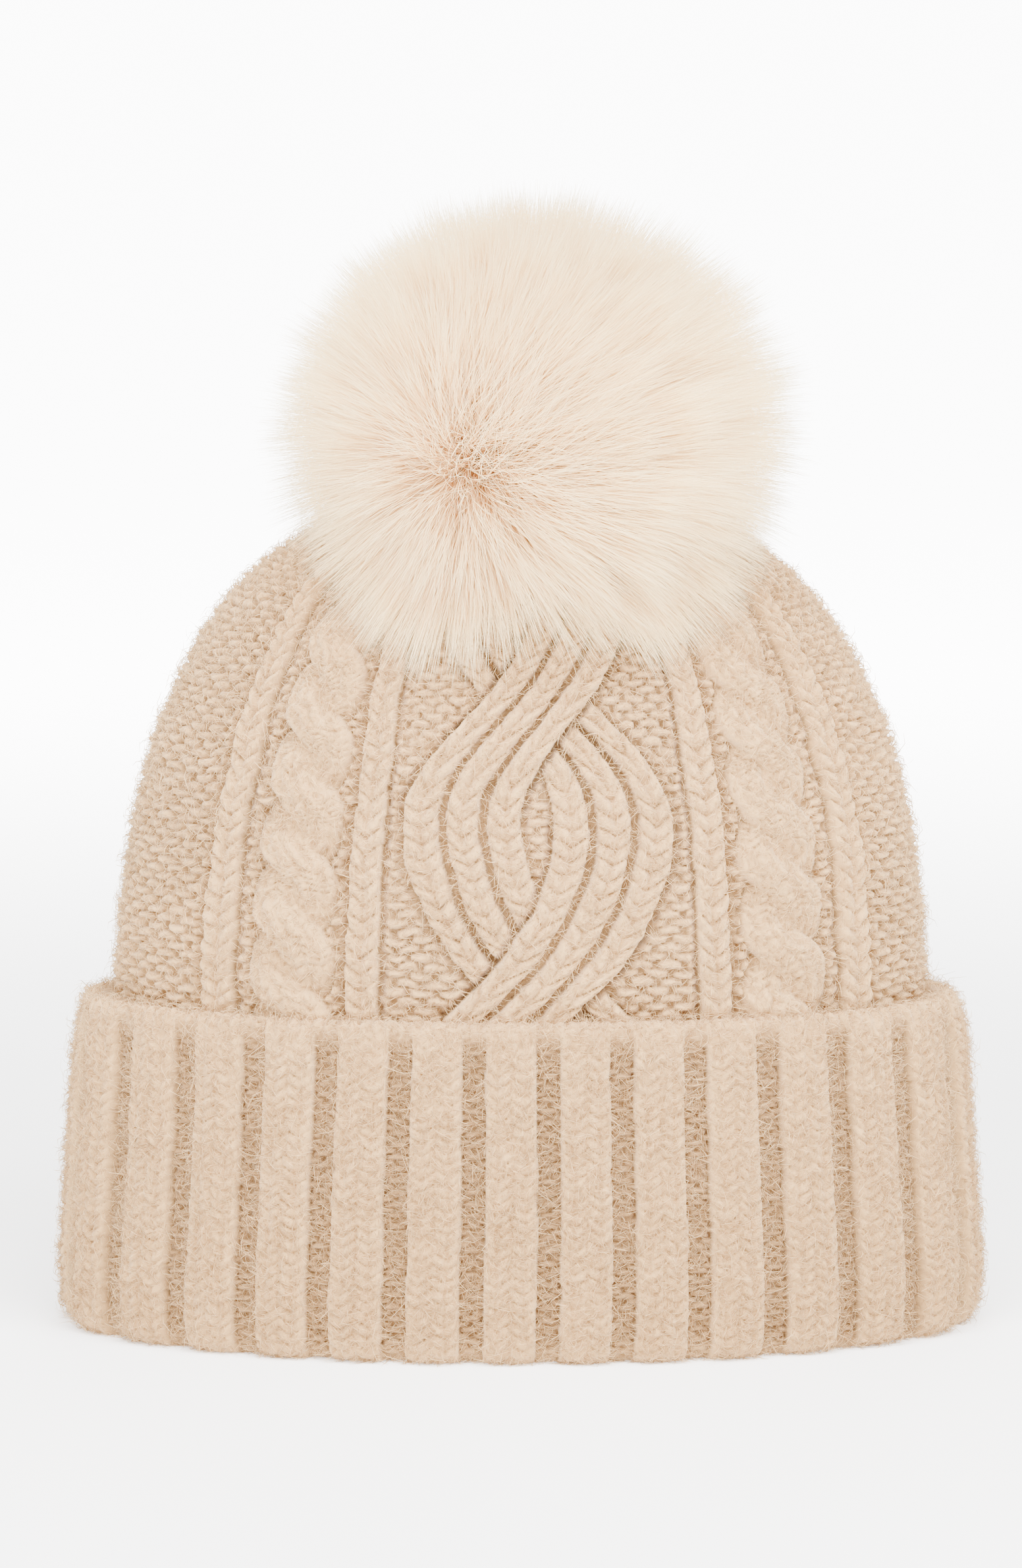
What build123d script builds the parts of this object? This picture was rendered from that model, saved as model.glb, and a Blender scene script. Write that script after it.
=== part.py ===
"""A cable-knit beanie with a turned-up ribbed cuff and a faux-fur pom pom on a press stud.

Millimetres. The hat stands on its folded brim: +Z is up towards the pom pom, the front faces -Y, and the
origin is the centre of the brim on the surface that it stands on. The knitted layers are ovals lofted up
the hat. The pom pom tips on the gathered crown, turns on its stud and pulls off upwards.
"""

from build123d import *

import os
from math import radians, sqrt, tan

# Brim and cuff
CUFF_HALF_WIDTH = 119.0
CUFF_HALF_DEPTH = 50.0
CUFF_HEIGHT = 88.0
CUFF_WALL = 5.7
CUFF_TAPER = 5.5  # how much narrower each side is at the cuff's top edge
FULLEST_Z = 18.0  # height of the cuff's widest round
FOLD_RADIUS = 4.5  # the soft fold along the brim
FOLD_THICKNESS = 5.0
EDGE_ROUND = 2.0  # the rolled cast-on edge at the cuff's top
LAYER_GAP = 0.3

# Inner ribbed band, which the cuff is folded up from
BAND_WALL = 4.5
BAND_TOP = 86.0

# Crown
CROWN_HALF_WIDTH = 105.0
CROWN_HALF_DEPTH = 41.2
CROWN_RISE = 130.0  # from the top of the band to where the crown's curve would close
CROWN_TOP = 212.0  # the gathered, nearly flat top
CROWN_WALL = 5.0
WIDTH_POWER = 1 / 3.15  # how square the shoulders are seen from the front
DEPTH_POWER = 1 / 3.0  # and from the side
CROWN_LEVELS = (BAND_TOP, 104.0, 122.0, 140.0, 158.0, 174.0, 187.0, 197.0, 205.0, CROWN_TOP)
CAVITY_LEVELS = (BAND_TOP, 104.0, 122.0, 140.0, 158.0, 174.0, 187.0, 197.0, CROWN_TOP - CROWN_WALL)

# Seams and label inside the back
SEAM_WIDTH = 3.0
SEAM_THICKNESS = 2.0
LABEL = (22.0, 0.6, 36.0)
LABEL_TOP = 84.0

# Gathered centre of the crown, where the pom pom tips
PIVOT_Z = 209.5
CROWN_HOLE_RADIUS = 10.6
GATHER_RADIUS = 9.4
GATHER_YARN_RADIUS = 0.8
PATCH_RADIUS = 7.8
PATCH_THICKNESS = 5.0

# Press stud: socket on the crown, stud on the pom pom
SNAP_RADIUS = 6.5
SNAP_CAP_RADIUS = 6.0
SOCKET_HEIGHT = 2.9
STUD_NUB_RADIUS = 2.15
STUD_NUB_LENGTH = 2.2
BORE_RADIUS = 2.2
PIN_RADIUS = 1.0
PIN_HOLE_RADIUS = 1.3
STUD_DISC = 2.0
CAP_THICKNESS = 1.5

# Pom pom
POM_RADIUS = 67.0
POM_HALF_HEIGHT = 59.5
POM_SIDE_RADIUS = 50.0  # of the arc round its side
POM_CENTRE_Z = 234.0
SKIN_RADIUS = 20.0
SKIN_THICKNESS = 1.6
SKIN_BASE_RADIUS = 9.0
UNDERSIDE_SLOPE = 5.0  # degrees: leaves room for the pom pom to tip over the crown
UNDERSIDE_FLAT = 12.0  # radius of the pile's level middle, underneath
UNDERSIDE_REACH = 80.0
THREAD_RADIUS = 0.5

# Heights that follow from those
PATCH_TOP = PIVOT_Z + PATCH_THICKNESS / 2
PATCH_BOTTOM = PIVOT_Z - PATCH_THICKNESS / 2
SOCKET_TOP = PATCH_TOP + SOCKET_HEIGHT
STUD_BOTTOM = SOCKET_TOP + LAYER_GAP
STUD_TOP = STUD_BOTTOM + STUD_DISC
SKIN_BASE_Z = STUD_TOP + LAYER_GAP
SKIN_CENTRE_Z = SKIN_BASE_Z + sqrt(SKIN_RADIUS**2 - SKIN_BASE_RADIUS**2)
STUD_CAP_Z = SKIN_BASE_Z + SKIN_THICKNESS + LAYER_GAP


def crown_oval(z, inset=0.0):
    """Height, half width and half depth of the crown at z, inset by a wall."""
    open_share = 1 - ((z - BAND_TOP) / CROWN_RISE) ** 2
    half_width = CROWN_HALF_WIDTH * open_share**WIDTH_POWER - inset
    half_depth = CROWN_HALF_DEPTH * open_share**DEPTH_POWER - inset
    return z, half_width, half_depth


def cuff_oval(z, inset=0.0):
    """Height, half width and half depth of the turned-up cuff at z, with its fold and edge rounded."""
    if z < FOLD_RADIUS and inset == 0:
        inset = FOLD_RADIUS - (FOLD_RADIUS**2 - (FOLD_RADIUS - z) ** 2) ** 0.5
    if z > CUFF_HEIGHT - EDGE_ROUND and inset == 0:
        inset = EDGE_ROUND * ((z - CUFF_HEIGHT + EDGE_ROUND) / EDGE_ROUND) ** 2
    above = max(0.0, z - FULLEST_Z) / (CUFF_HEIGHT - FULLEST_Z)
    below = max(0.0, FULLEST_Z - z) / FULLEST_Z
    narrowing = CUFF_TAPER * above + below**2
    return z, CUFF_HALF_WIDTH - narrowing - inset, CUFF_HALF_DEPTH - narrowing / 2 - inset


def add_ovals(levels, mode=Mode.ADD):
    """Lofts ellipses given as (height, half width, half depth) into the part being built."""
    sections = []
    for z, half_width, half_depth in levels:
        with BuildSketch(Plane.XY.offset(z)) as section:
            Ellipse(half_width, half_depth)
        sections.append(section.sketch)
    loft(sections=sections, mode=mode)


def add_disc(radius, bottom, height, mode=Mode.ADD):
    """A round plate standing on the height bottom, centred on the pom pom's axis."""
    with BuildSketch(Plane.XY.offset(bottom)) as disc:
        Circle(radius)
    extrude(disc.sketch, amount=height, mode=mode)


def make_cuff():
    """Outer layer of the brim: folded along the bottom, with a rolled cast-on edge at the top."""
    outer_levels = (0.0, 1.0, 2.5, FOLD_RADIUS, FULLEST_Z, 50.0, 76.0, 86.0, 87.0, CUFF_HEIGHT)
    pocket_levels = (FOLD_THICKNESS, FULLEST_Z, 50.0, 76.0, CUFF_HEIGHT)
    mouth_inset = CUFF_WALL + BAND_WALL
    with BuildPart() as cuff:
        add_ovals([cuff_oval(z) for z in outer_levels])
        add_ovals([cuff_oval(z, CUFF_WALL) for z in pocket_levels], Mode.SUBTRACT)
        add_ovals([cuff_oval(z, mouth_inset) for z in (0.0, FOLD_THICKNESS)], Mode.SUBTRACT)
    return cuff.part


def band_levels(inset):
    """Ovals of the inner band, from just above the fold to the crown, inset from its outside."""
    heights = (FOLD_THICKNESS + LAYER_GAP, FULLEST_Z, 50.0, 76.0, BAND_TOP)
    return [cuff_oval(z, CUFF_WALL + LAYER_GAP + inset) for z in heights]


def make_inner_band():
    """Ribbed inner layer of the brim, inside the cuff."""
    with BuildPart() as band:
        add_ovals(band_levels(0.0))
        add_ovals(band_levels(BAND_WALL), Mode.SUBTRACT)
    return band.part


def make_crown_shell():
    """Cable-knit crown, hollow, with a round hole in its top for the gathered centre."""
    with BuildPart() as crown:
        add_ovals([crown_oval(z) for z in CROWN_LEVELS])
        add_ovals([crown_oval(z, CROWN_WALL) for z in CAVITY_LEVELS], Mode.SUBTRACT)
        add_disc(CROWN_HOLE_RADIUS, CROWN_TOP - 2 * CROWN_WALL, 3 * CROWN_WALL, Mode.SUBTRACT)
    return crown.part


def make_seam(outer_levels, inner_levels):
    """Sewn ridge down the inside of the back: the strip between two ovals, cut to its width."""
    low, high = outer_levels[0][0], outer_levels[-1][0]
    with BuildPart() as seam:
        add_ovals(outer_levels)
        add_ovals(inner_levels, Mode.SUBTRACT)
        with Locations((0, CUFF_HALF_DEPTH / 2, (low + high) / 2)):
            Box(SEAM_WIDTH, CUFF_HALF_DEPTH, high - low, mode=Mode.INTERSECT)
    return seam.part


def make_crown_seam():
    """Seam of the crown, which stops short of the gathered top."""
    levels = CAVITY_LEVELS[:-2]
    outer = [crown_oval(z, CROWN_WALL + LAYER_GAP) for z in levels]
    inner = [crown_oval(z, CROWN_WALL + LAYER_GAP + SEAM_THICKNESS) for z in levels]
    return make_seam(outer, inner)


def make_band_seam():
    """Seam of the inner band."""
    face = BAND_WALL + LAYER_GAP
    return make_seam(band_levels(face), band_levels(face + SEAM_THICKNESS))


def make_care_label():
    """Blank folded label, hanging from the seam inside the back of the band."""
    width, thickness, height = LABEL
    seam_face = CUFF_WALL + BAND_WALL + SEAM_THICKNESS + 3 * LAYER_GAP
    back_y = cuff_oval(LABEL_TOP, seam_face)[2]
    with BuildPart() as label:
        with Locations((0, back_y - thickness / 2, LABEL_TOP - height / 2)):
            Box(width, thickness, height)
    return label.part


def make_gather_yarn():
    """Ring of drawn-up yarn that closes the crown round its centre."""
    with BuildPart() as yarn:
        with Locations((0, 0, PIVOT_Z)):
            Torus(GATHER_RADIUS, GATHER_YARN_RADIUS)
    return yarn.part


def make_crown_patch():
    """Felted centre of the crown, which the press stud's socket is set through."""
    with BuildPart() as patch:
        add_disc(PATCH_RADIUS, PATCH_BOTTOM, PATCH_THICKNESS)
        add_disc(PIN_HOLE_RADIUS, PATCH_BOTTOM, PATCH_THICKNESS, Mode.SUBTRACT)
    return patch.part


def make_snap_socket():
    """Female half of the press stud, with its pin down through the patch."""
    bore_depth = STUD_NUB_LENGTH + LAYER_GAP
    with BuildPart() as socket:
        add_disc(SNAP_RADIUS, PATCH_TOP, SOCKET_HEIGHT)
        rim = socket.edges().filter_by(GeomType.CIRCLE).sort_by(Axis.Z)[-1]
        fillet(rim, radius=0.8)
        add_disc(BORE_RADIUS, SOCKET_TOP - bore_depth, bore_depth, Mode.SUBTRACT)
        add_disc(PIN_RADIUS, PATCH_BOTTOM, PATCH_THICKNESS)
    return socket.part


def make_cap(bottom):
    """Round cap of the press stud, softened at its rims."""
    with BuildPart() as cap:
        add_disc(SNAP_CAP_RADIUS, bottom, CAP_THICKNESS)
        fillet(cap.edges().filter_by(GeomType.CIRCLE), radius=0.5)
    return cap.part


def make_snap_stud():
    """Male half of the press stud: its nub sits in the socket and its pin runs up into the pom pom."""
    with BuildPart() as stud:
        add_disc(SNAP_RADIUS, STUD_BOTTOM, STUD_DISC)
        fillet(stud.edges().filter_by(GeomType.CIRCLE), radius=0.6)
        add_disc(STUD_NUB_RADIUS, SOCKET_TOP - STUD_NUB_LENGTH, STUD_NUB_LENGTH + LAYER_GAP)
        add_disc(PIN_RADIUS, STUD_TOP, STUD_CAP_Z - STUD_TOP)
    return stud.part


def add_ball(radius, base_z, mode=Mode.ADD):
    """A ball about the middle of the pom pom's backing, cut off flat at the height base_z."""
    with BuildPart(mode=Mode.PRIVATE) as ball:
        with Locations((0, 0, SKIN_CENTRE_Z)):
            Sphere(radius)
        split(bisect_by=Plane.XY.offset(base_z), keep=Keep.TOP)
    add(ball.part, mode=mode)


def make_pom_skin():
    """Backing fabric that the pile grows from, gathered into a ball with a flat base."""
    with BuildPart() as skin:
        add_ball(SKIN_RADIUS, SKIN_BASE_Z)
        add_ball(SKIN_RADIUS - SKIN_THICKNESS, SKIN_BASE_Z + SKIN_THICKNESS, Mode.SUBTRACT)
        add_disc(PIN_HOLE_RADIUS, SKIN_BASE_Z, SKIN_THICKNESS, Mode.SUBTRACT)
    return skin.part


def make_pom_stuffing():
    """Fibre filling inside the backing, with a dimple over the stud's cap."""
    inset = SKIN_THICKNESS + LAYER_GAP
    base_z = SKIN_BASE_Z + inset
    with BuildPart() as stuffing:
        add_ball(SKIN_RADIUS - inset, base_z)
        add_disc(SNAP_CAP_RADIUS + 2 * LAYER_GAP, base_z, CAP_THICKNESS + LAYER_GAP, Mode.SUBTRACT)
    return stuffing.part


def make_pom_thread():
    """Drawstring stitched round the mouth of the backing."""
    with BuildPart() as thread:
        with Locations((0, 0, SKIN_BASE_Z - THREAD_RADIUS - 0.1)):
            Torus(SKIN_BASE_RADIUS, THREAD_RADIUS)
    return thread.part


def pom_outline_points():
    """Top, shoulder, widest and lowest points of a round outline with a flatter arc across its top."""
    side_x = POM_RADIUS - POM_SIDE_RADIUS
    drop = POM_HALF_HEIGHT - POM_SIDE_RADIUS
    crown_radius = (side_x**2 + POM_HALF_HEIGHT**2 - POM_SIDE_RADIUS**2) / (2 * drop)
    share = POM_SIDE_RADIUS / (crown_radius - POM_SIDE_RADIUS)
    top = (0, POM_CENTRE_Z + POM_HALF_HEIGHT)
    shoulder = (side_x * (1 + share), POM_CENTRE_Z + (crown_radius - POM_HALF_HEIGHT) * share)
    widest = (POM_RADIUS, POM_CENTRE_Z)
    lowest = (side_x, POM_CENTRE_Z - POM_SIDE_RADIUS)
    return top, shoulder, widest, lowest


def make_pom_fur():
    """Envelope of the long pile, hollow over the backing and dished underneath over the crown."""
    top, shoulder, widest, lowest = pom_outline_points()
    rise = (UNDERSIDE_REACH - UNDERSIDE_FLAT) * tan(radians(UNDERSIDE_SLOPE))
    dish_outline = (
        (0, lowest[1] - LAYER_GAP),
        (UNDERSIDE_REACH, lowest[1] - LAYER_GAP),
        (UNDERSIDE_REACH, SKIN_BASE_Z + rise),
        (UNDERSIDE_FLAT, SKIN_BASE_Z),
        (0, SKIN_BASE_Z),
    )
    with BuildPart() as fur:
        with BuildSketch(Plane.XZ):
            with BuildLine():
                TangentArc(top, shoulder, tangent=(1, 0))
                ThreePointArc(shoulder, widest, lowest)
                Polyline(lowest, (0, lowest[1]), top)
            make_face()
            with BuildLine():
                Polyline(*dish_outline, close=True)
            make_face(mode=Mode.SUBTRACT)
            with Locations((0, SKIN_CENTRE_Z)):
                Circle(SKIN_RADIUS + LAYER_GAP, mode=Mode.SUBTRACT)
        revolve(axis=Axis.Z)
    return fur.part


def write(part, name):
    """Labels a finished piece and writes its STEP file."""
    part.label = name
    export_step(part, f"parts/{name}.step")


if __name__ == "__main__":
    os.makedirs("parts", exist_ok=True)
    write(make_crown_shell(), "crown_shell")
    write(make_crown_seam(), "crown_seam")
    write(make_gather_yarn(), "gather_yarn")
    write(make_inner_band(), "inner_band")
    write(make_band_seam(), "band_seam")
    write(make_cuff(), "cuff")
    write(make_care_label(), "care_label")
    write(make_crown_patch(), "crown_patch")
    write(make_snap_socket(), "snap_socket")
    write(make_cap(PATCH_BOTTOM - CAP_THICKNESS), "socket_cap")
    write(make_snap_stud(), "snap_stud")
    write(make_cap(STUD_CAP_Z), "stud_cap")
    write(make_pom_skin(), "pom_skin")
    write(make_pom_stuffing(), "pom_stuffing")
    write(make_pom_thread(), "pom_thread")
    write(make_pom_fur(), "pom_fur")
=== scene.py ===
"""Looks of the pom pom beanie: knitted crown and cuff, long-pile pom pom, seams, label and press stud.

Lengths in the shape code are millimetres in the row frame, and MM turns them into Blender's metres.
"""

import math

import bpy
import numpy as np
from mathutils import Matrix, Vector


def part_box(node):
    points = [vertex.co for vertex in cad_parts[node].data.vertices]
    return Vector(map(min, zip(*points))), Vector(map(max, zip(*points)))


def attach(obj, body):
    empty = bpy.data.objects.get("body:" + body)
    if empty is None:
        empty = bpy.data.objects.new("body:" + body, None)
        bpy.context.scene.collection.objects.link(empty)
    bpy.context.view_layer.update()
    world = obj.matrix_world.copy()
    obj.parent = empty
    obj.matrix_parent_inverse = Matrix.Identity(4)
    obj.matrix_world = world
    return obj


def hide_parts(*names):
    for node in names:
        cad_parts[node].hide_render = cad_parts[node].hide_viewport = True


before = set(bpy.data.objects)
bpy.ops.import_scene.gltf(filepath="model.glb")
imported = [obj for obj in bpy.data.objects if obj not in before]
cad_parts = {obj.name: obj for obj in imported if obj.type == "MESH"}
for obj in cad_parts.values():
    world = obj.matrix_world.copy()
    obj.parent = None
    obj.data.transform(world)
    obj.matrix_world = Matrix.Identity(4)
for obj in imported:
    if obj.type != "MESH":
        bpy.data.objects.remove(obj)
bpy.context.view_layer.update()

MM = 0.001
RNG = np.random.default_rng(11)
FINE = 1.0  # coarser sampling while trying things
FUZZ_FIBRES = int(115000 / FINE**2)  # on the crown, and again on the cuff
PILE_STRANDS = int(88000 / FINE**2)
CUFF_RIBS = 28


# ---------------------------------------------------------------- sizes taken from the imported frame


def box_mm(node):
    """Lowest and highest corner of a CAD node, in millimetres."""
    low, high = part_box(node)
    return np.array(low) / MM, np.array(high) / MM


CROWN_LOW, CROWN_HIGH = box_mm("crown_shell")
CUFF_HIGH = box_mm("cuff")[1]
BAND_LOW, BAND_HIGH = box_mm("inner_band")
SKIN_LOW, SKIN_HIGH = box_mm("pom_skin")
FUR_HIGH = box_mm("pom_fur")[1]
SEAM_LOW, SEAM_HIGH = box_mm("crown_seam")
BAND_SEAM_LOW, BAND_SEAM_HIGH = box_mm("band_seam")
LABEL_LOW, LABEL_HIGH = box_mm("care_label")
GATHER_LOW, GATHER_HIGH = box_mm("gather_yarn")
PATCH_LOW, PATCH_HIGH = box_mm("crown_patch")
THREAD_LOW, THREAD_HIGH = box_mm("pom_thread")
STUFFING_LOW, STUFFING_HIGH = box_mm("pom_stuffing")

CROWN_A, CROWN_B = CROWN_HIGH[0], CROWN_HIGH[1]
CROWN_BASE, CROWN_TOP = CROWN_LOW[2], CROWN_HIGH[2]
CROWN_RISE = 130.0
CROWN_WALL = 5.0
HOLE_RADIUS = 10.6
CUFF_A, CUFF_B, CUFF_TOP = 119.0, 50.0, CUFF_HIGH[2]
CUFF_WALL, BAND_WALL, FULLEST_Z, CUFF_TAPER = 5.7, 4.5, 18.0, 5.5
SKIN_RADIUS = SKIN_HIGH[0]
SKIN_CENTRE = np.array([0.0, 0.0, SKIN_HIGH[2] - SKIN_RADIUS])


# ---------------------------------------------------------------- small maths


def smooth(edge0, edge1, x):
    """Smoothstep from 0 at edge0 to 1 at edge1."""
    t = np.clip((x - edge0) / (edge1 - edge0), 0.0, 1.0)
    return t * t * (3.0 - 2.0 * t)


def unit(v):
    """Vectors along the last axis, at length 1."""
    return v / np.maximum(np.linalg.norm(v, axis=-1, keepdims=True), 1e-9)


def dome(t):
    """Rounded profile: 1 at t = 0, falling to 0 at t = 1 and beyond."""
    return np.sqrt(np.clip(1.0 - t * t, 0.0, 1.0))


def soft_noise(x, y, seed, period):
    """Smooth value noise from -1 to 1 that repeats along x after period cells."""
    lattice = np.random.default_rng(seed).uniform(-1.0, 1.0, (64, int(period)))
    xi, yi = np.floor(x).astype(int), np.floor(y).astype(int)
    fx, fy = x - xi, y - yi
    fx, fy = fx * fx * (3 - 2 * fx), fy * fy * (3 - 2 * fy)
    x0, x1 = xi % int(period), (xi + 1) % int(period)
    y0, y1 = yi % 64, (yi + 1) % 64
    low = lattice[y0, x0] * (1 - fx) + lattice[y0, x1] * fx
    high = lattice[y1, x0] * (1 - fx) + lattice[y1, x1] * fx
    return low * (1 - fy) + high * fy


# ---------------------------------------------------------------- stitches, as heights over the fabric


def knit_column(across, half_width, rows):
    """One column of V stitches: height 0..1 from the distance across it and the row number."""
    a = np.abs(across) / half_width
    leg = dome(np.abs(a - 0.5) / 0.56) ** 0.7
    phase = np.mod(rows - 0.75 * a, 1.0)
    lobe = dome(2.0 * phase - 1.0)
    return np.where(a < 1.05, leg * (0.30 + 0.70 * lobe), 0.0)


def purl_bumps(across, width, rows):
    """Reverse stockinette: staggered half loops, height 0..1."""
    best = np.zeros_like(across)
    for shift, bow in ((0.0, 0.05), (0.5, -0.05)):
        u = across / width + shift
        du = u - np.round(u)
        v = rows + shift + bow * np.cos(2 * math.pi * du)
        dv = v - np.round(v)
        best = np.maximum(best, dome(np.abs(du) / 0.40) ** 0.6 * dome(np.abs(dv) / 0.24))
    return best


def rope_cable(across, height, pitch, swing, radius):
    """Two strands twisted round each other, sloping down to the right where they show: height in mm."""
    best = np.full_like(across, -1.4)
    for k in (0, 1):
        turn = math.pi * (height / pitch + k)
        slope = swing * math.pi / pitch * np.sin(turn)
        stretch = np.sqrt(1.0 + slope**2)
        inside = (across - swing * np.cos(turn)) / stretch
        body = dome(np.abs(inside) / radius)
        along = (height + k * pitch) / 4.0 * np.sqrt(stretch)
        half = 0.5 * radius
        stitch = np.maximum(knit_column(inside - half, half, along), knit_column(inside + half, half, along))
        strand = -1.9 + 1.7 * np.sin(turn) + 3.4 * body + 2.1 * stitch * body**0.5
        best = np.where(body > 0, np.maximum(best, strand), best)
    return best


def yarn_fluff(s, path, coarse, fine):
    """Small unevenness of brushed yarn, in mm, as two sizes of lump."""
    large = soft_noise(s * 0.9 + 900, path * 0.9, 6, 4096)
    small = soft_noise(s * 1.9 + 900, path * 1.9, 7, 4096)
    return coarse * large + fine * small


# ---------------------------------------------------------------- the crown's cable pattern

ROW = 4.4
MOTIF_X = 4.8  # the pattern's middle, a little to one side of the front
MOTIF_Z = 138.0  # where the two bands stand furthest apart
BAND_SWING = 20.4
BAND_PERIOD = 148.0
RIB_PITCH = 11.3
BAND_HALF = 15.9
CABLE_HALF = 12.4


def crown_pattern(s, z, half_round):
    """Height in mm of the cable pattern at the distance s round the crown and the height z."""
    s = np.mod(s - MOTIF_X + 0.5 * half_round, half_round) - 0.5 * half_round
    drift = soft_noise(s / 9.0 + 40, z / 9.0, 21, 64) + 0.6 * soft_noise(s / 4.0 + 70, z / 3.2, 24, 64)
    rows = (z - CROWN_BASE) / ROW + 0.16 * drift
    uneven = 1.0 + 0.3 * soft_noise(s / 5.0 + 60, z / 3.6, 22, 64)
    wander = 1.1 * soft_noise(s / 14.0 + 40, z / 8.0, 23, 64)
    height = -0.9 + 2.3 * uneven * purl_bumps(s + wander, 7.4, rows)
    # knit columns and rope cables between the panels
    for side in (-1, 1):
        for centre in (45.3, 84.0):
            away = s - side * centre + 0.55 * drift
            column = -0.1 + 3.3 * uneven**0.5 * knit_column(away, 4.0, rows)
            edge = np.abs(away) < 4.1
            gutter = smooth(7.0, 4.1, np.abs(away))
            height = np.where(edge, column, height * (1 - 0.8 * gutter) - 1.9 * gutter)
        away = s - side * 63.8
        rope = rope_cable(away, z - CROWN_BASE + 3.0 + 5.0 * (side > 0) + 1.2 * drift, 17.6, 5.0, 6.6)
        height = np.where((np.abs(away) < CABLE_HALF) & (rope > -1.4), rope, height)
    # the two bands of three columns that part and cross
    angle = 2 * math.pi * (z - MOTIF_Z) / BAND_PERIOD
    angle = angle + 0.22 * np.sin(angle) ** 2
    slant = BAND_SWING * 2 * math.pi / BAND_PERIOD * np.sin(angle)
    band_rows = rows / np.sqrt(1 + 0.4 * slant**2)
    crossing = smooth(0.35, 0.9, np.abs(np.sin(angle)))
    for under in (True, False):
        for side in (1, -1):
            chosen = (side * np.sin(angle) > 0) == under
            away = s - side * BAND_SWING * np.cos(angle) + 0.55 * drift
            band = np.full_like(s, -1.9)
            for k in (-1, 0, 1):
                column = knit_column(away - k * RIB_PITCH, 4.3, band_rows + 0.37 * k)
                band = np.maximum(band, -0.6 + 3.5 * uneven**0.5 * column - 5.0 * (column <= 0))
            lift = (-0.5 if under else 1.0) * crossing
            dip = 1.6 if under else 2.6
            inside = (np.abs(away) < BAND_HALF) & chosen
            gutter = smooth(BAND_HALF + 3.0, BAND_HALF, np.abs(away)) * chosen * ~inside
            ground = height * (1 - 0.7 * gutter) - dip * gutter
            height = np.where(inside, band + lift, ground)
    return height


def cuff_pattern(s, path, pitch):
    """Height in mm of the cuff's rib: raised ribs of two knit columns, and purl grooves between them."""
    drift = soft_noise(s / 8.0 + 40, path / 8.0, 31, 64)
    rows = path / 3.0 + 0.15 * drift
    uneven = 1.0 + 0.3 * soft_noise(s / 3.5 + 60, path / 2.6, 32, 64)
    offset = np.mod(s - 7.3, pitch) - 0.5 * pitch + 0.25 * drift
    a = np.abs(offset)
    groove = -3.3 + 1.5 * uneven * purl_bumps(s - 7.3 - 0.5 * pitch, pitch / 3, rows)
    knit = np.maximum(knit_column(offset - 3.45, 3.45, rows), knit_column(offset + 3.45, 3.45, rows + 0.3))
    rib = dome(a / 7.6) ** 0.6
    raised = -2.4 + 2.5 * rib + 2.1 * uneven * knit * rib
    return np.where(a < 6.7, np.maximum(raised, groove), groove)


# ---------------------------------------------------------------- base surfaces


def crown_half(z):
    """Half width and half depth of the crown at z."""
    share = np.clip(1.0 - ((z - CROWN_BASE) / CROWN_RISE) ** 2, 1e-4, 1.0)
    return CROWN_A * share ** (1 / 3.15), CROWN_B * share ** (1 / 3.0)


def cuff_half(z):
    """Half width and half depth of the cuff at z, without its rounded fold."""
    above = np.maximum(0.0, z - FULLEST_Z) / (CUFF_TOP - FULLEST_Z)
    below = np.maximum(0.0, FULLEST_Z - z) / FULLEST_Z
    narrowing = CUFF_TAPER * above + below**2
    return CUFF_A - narrowing, CUFF_B - narrowing / 2


def even_angles(half_width, half_depth, count):
    """Angles round an oval, from the back, that are evenly spaced along its edge, and its length."""
    dense = np.linspace(-math.pi, math.pi, 7201)
    x, y = half_width * np.sin(dense), -half_depth * np.cos(dense)
    length = np.concatenate([[0], np.cumsum(np.hypot(np.diff(x), np.diff(y)))])
    wanted = np.arange(count) / count * length[-1]
    return np.interp(wanted, length, dense), length[-1]


def oval_rows(half_width, half_depth, z, angles):
    """Points of the ovals, as rows by angles by 3."""
    x = half_width[:, None] * np.sin(angles)[None, :]
    y = -half_depth[:, None] * np.cos(angles)[None, :]
    return np.stack([x, y, np.broadcast_to(z[:, None], x.shape)], axis=-1)


def grid_normals(points):
    """Outward normals of a grid that closes round its columns; its rows run up an outside."""
    round_way = np.roll(points, -1, axis=1) - np.roll(points, 1, axis=1)
    up_way = np.gradient(points, axis=0)
    return unit(np.cross(round_way, up_way))


# ---------------------------------------------------------------- meshes


def cell_corners(u0, v0, u1, v1):
    """The four corners of each cell of a grid, in order round it."""
    corners = ((u0, v0), (u1, v0), (u1, v1), (u0, v1))
    return np.stack([np.stack(corner, -1) for corner in corners], 2)


def add_mesh(name, points, faces, uvs=None, values=None):
    """A smooth mesh from millimetre points and quads or triangles, with UVs per corner and point values."""
    mesh = bpy.data.meshes.new(name)
    points = np.asarray(points, float).reshape(-1, 3) * MM
    faces = np.asarray(faces, np.int32)
    size = faces.shape[1]
    mesh.vertices.add(len(points))
    mesh.vertices.foreach_set("co", points.astype(np.float32).ravel())
    mesh.loops.add(faces.size)
    mesh.loops.foreach_set("vertex_index", faces.ravel())
    mesh.polygons.add(len(faces))
    mesh.polygons.foreach_set("loop_start", np.arange(0, faces.size, size, dtype=np.int32))
    mesh.polygons.foreach_set("use_smooth", np.ones(len(faces), bool))
    if uvs is not None:
        layer = mesh.uv_layers.new(name="OFBake")
        layer.data.foreach_set("uv", np.asarray(uvs, np.float32).ravel())
    for key, value in (values or {}).items():
        layer = mesh.attributes.new(key, "FLOAT", "POINT")
        layer.data.foreach_set("value", np.asarray(value, np.float32).ravel())
    mesh.update(calc_edges=True)
    mesh.validate()
    piece = bpy.data.objects.new(name, mesh)
    bpy.context.scene.collection.objects.link(piece)
    return piece


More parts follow.
